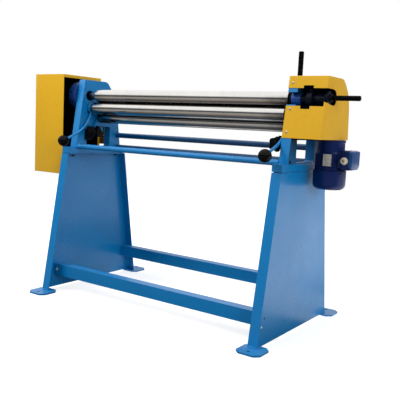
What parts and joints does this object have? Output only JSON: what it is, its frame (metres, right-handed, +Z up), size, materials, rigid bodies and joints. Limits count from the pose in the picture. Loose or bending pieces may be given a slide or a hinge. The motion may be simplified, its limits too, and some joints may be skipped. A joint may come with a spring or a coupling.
{
  "type": "motor-driven slip roll machine",
  "caption": "Floor-standing slip roll machine with a swing-out top roll, a vertical worm gear motor, ball levers and two sheet metal stands.",
  "frame": {"origin": "on the floor, midway between the ends, front and back of the whole machine", "axes": "+X along the rolls towards the motor end, -Y towards the operator, +Z up"},
  "size_m": [1.678, 0.767, 1.137],
  "materials": {
    "sky_blue_enamel": "semi-gloss stove enamel",
    "navy_enamel": "semi-gloss enamel",
    "yellow_enamel": "semi-gloss enamel",
    "ground_steel": "ground, lightly oiled",
    "dark_iron": "dark, oiled",
    "bronze": "machined",
    "black_steel": "blackened, semi-matt",
    "black_plastic": "matt",
    "gloss_black_plastic": "gloss",
    "zinc_screw": "zinc plated",
    "grey_plastic": "matt",
    "aluminium_plate": "satin, bare"
  },
  "bodies": {
    "machine_base": {"left_leg_panel": "sky_blue_enamel", "right_leg_panel": "sky_blue_enamel", "left_front_foot_plate": "sky_blue_enamel", "left_rear_foot_plate": "sky_blue_enamel", "right_front_foot_plate": "sky_blue_enamel", "right_rear_foot_plate": "sky_blue_enamel", "front_beam": "sky_blue_enamel", "rear_beam": "sky_blue_enamel", "left_head_base": "sky_blue_enamel", "right_head_base": "sky_blue_enamel", "left_side_frame": "sky_blue_enamel", "right_side_frame": "sky_blue_enamel", "front_tie_rod": "sky_blue_enamel", "rear_upper_tie_rod": "sky_blue_enamel", "rear_lower_tie_rod": "sky_blue_enamel", "swivel_bearing_housing": "navy_enamel", "gearbox_housing": "navy_enamel", "gearbox_side_cover": "navy_enamel", "motor_housing": "navy_enamel", "fan_cowl": "navy_enamel", "terminal_box": "navy_enamel", "terminal_box_lid": "navy_enamel", "gear_cover": "yellow_enamel", "gear_cover_bracket": "yellow_enamel", "drive_cover": "yellow_enamel", "left_adjuster_bracket": "dark_iron", "right_adjuster_bracket": "dark_iron", "drive_cover_screw_1": "zinc_screw", "drive_cover_screw_2": "zinc_screw", "drive_cover_screw_3": "zinc_screw", "cable_gland": "grey_plastic", "motor_plate": "aluminium_plate"},
    "top_carrier": {"swivel_bearing": "ground_steel", "right_bearing_housing": "sky_blue_enamel", "swing_yoke": "black_steel", "pull_handle": "black_steel"},
    "top_roll_body": {"top_roll": "ground_steel", "top_roll_gear": "dark_iron"},
    "pinch_carrier": {"left_pinch_bearing_block": "dark_iron", "right_pinch_bearing_block": "dark_iron"},
    "pinch_roll_body": {"pinch_roll": "ground_steel", "pinch_roll_gear": "dark_iron", "pinch_drive_gear": "dark_iron"},
    "left_lever_body": {"left_eccentric_lever": "sky_blue_enamel", "left_ball_knob": "gloss_black_plastic"},
    "right_lever_body": {"right_eccentric_lever": "sky_blue_enamel", "right_ball_knob": "gloss_black_plastic"},
    "rear_carrier": {"left_rear_bearing_arm": "sky_blue_enamel", "right_rear_bearing_arm": "sky_blue_enamel"},
    "rear_roll_body": {"rear_roll": "ground_steel"},
    "left_wedge_body": {"left_adjusting_wedge": "dark_iron"},
    "right_wedge_body": {"right_adjusting_wedge": "dark_iron"},
    "left_screw_body": {"left_star_knob_screw": "black_plastic"},
    "right_screw_body": {"right_star_knob_screw": "black_plastic"},
    "lock_body": {"lock_lever": "black_steel"},
    "output_body": {"output_gear_shaft": "dark_iron", "worm_wheel": "bronze"},
    "motor_body": {"worm_shaft": "ground_steel", "motor_rotor": "ground_steel", "motor_fan": "black_plastic"}
  },
  "joints": [
    {"name": "top_swing", "type": "hinge", "parent": "machine_base", "child": "top_carrier", "pos_m": [-0.616, -0.06, 0.953], "axis": [0, 0, -1], "range_deg": [0, 6]},
    {"name": "top_roll_spin", "type": "hinge", "parent": "top_carrier", "child": "top_roll_body", "pos_m": [0.006, -0.06, 0.953], "axis": [1, 0, 0], "continuous": true},
    {"name": "pinch_release", "type": "slide", "parent": "machine_base", "child": "pinch_carrier", "axis": [0, 0, -1], "range_m": [0, 0.004]},
    {"name": "pinch_roll_spin", "type": "hinge", "parent": "pinch_carrier", "child": "pinch_roll_body", "pos_m": [0.006, -0.06, 0.8925], "axis": [1, 0, 0], "continuous": true},
    {"name": "left_lever_turn", "type": "hinge", "parent": "pinch_carrier", "child": "left_lever_body", "pos_m": [-0.541, -0.06, 0.8925], "axis": [-1, 0, 0], "range_deg": [0, 40.02]},
    {"name": "right_lever_turn", "type": "hinge", "parent": "pinch_carrier", "child": "right_lever_body", "pos_m": [0.553, -0.06, 0.8925], "axis": [-1, 0, 0], "range_deg": [0, 40.02]},
    {"name": "rear_lift", "type": "slide", "parent": "machine_base", "child": "rear_carrier", "axis": [0, 0.342, 0.9397], "range_m": [0, 0.0145]},
    {"name": "rear_roll_spin", "type": "hinge", "parent": "rear_carrier", "child": "rear_roll_body", "pos_m": [0.006, -0.004, 0.851], "axis": [1, 0, 0], "continuous": true},
    {"name": "left_wedge_slide", "type": "slide", "parent": "machine_base", "child": "left_wedge_body", "axis": [0, 1, 0], "range_m": [0, 0.01632]},
    {"name": "right_wedge_slide", "type": "slide", "parent": "machine_base", "child": "right_wedge_body", "axis": [0, 1, 0], "range_m": [0, 0.01632]},
    {"name": "left_screw_turn", "type": "hinge", "parent": "left_wedge_body", "child": "left_screw_body", "pos_m": [-0.507, -0.08, 0.773], "axis": [0, 1, 0], "range_deg": [0, 979.3]},
    {"name": "right_screw_turn", "type": "hinge", "parent": "right_wedge_body", "child": "right_screw_body", "pos_m": [0.519, -0.08, 0.773], "axis": [0, 1, 0], "range_deg": [0, 979.3]},
    {"name": "lock_lever_turn", "type": "hinge", "parent": "machine_base", "child": "lock_body", "pos_m": [0.586, -0.06, 1.003], "axis": [-1, 0, 0], "range_deg": [0, 55]},
    {"name": "output_shaft_spin", "type": "hinge", "parent": "machine_base", "child": "output_body", "pos_m": [0.616, 0.0125, 0.856], "axis": [1, 0, 0], "continuous": true},
    {"name": "motor_shaft_spin", "type": "hinge", "parent": "machine_base", "child": "motor_body", "pos_m": [0.686, 0.0625, 0.75], "axis": [0, 0, 1], "continuous": true}
  ],
  "couplings": [
    {"joint": "top_roll_spin", "follows": "pinch_roll_spin", "ratio": -1},
    {"joint": "output_shaft_spin", "follows": "pinch_roll_spin", "ratio": -0.68421},
    {"joint": "motor_shaft_spin", "follows": "pinch_roll_spin", "ratio": 13.684},
    {"joint": "left_lever_turn", "follows": "pinch_release", "rad_per_m": 174.53},
    {"joint": "right_lever_turn", "follows": "pinch_release", "rad_per_m": 174.53},
    {"joint": "left_wedge_slide", "follows": "rear_lift", "ratio": 1.1251},
    {"joint": "right_wedge_slide", "follows": "rear_lift", "ratio": 1.1251},
    {"joint": "left_screw_turn", "follows": "rear_lift", "rad_per_m": 1178.2},
    {"joint": "right_screw_turn", "follows": "rear_lift", "rad_per_m": 1178.2}
  ]
}
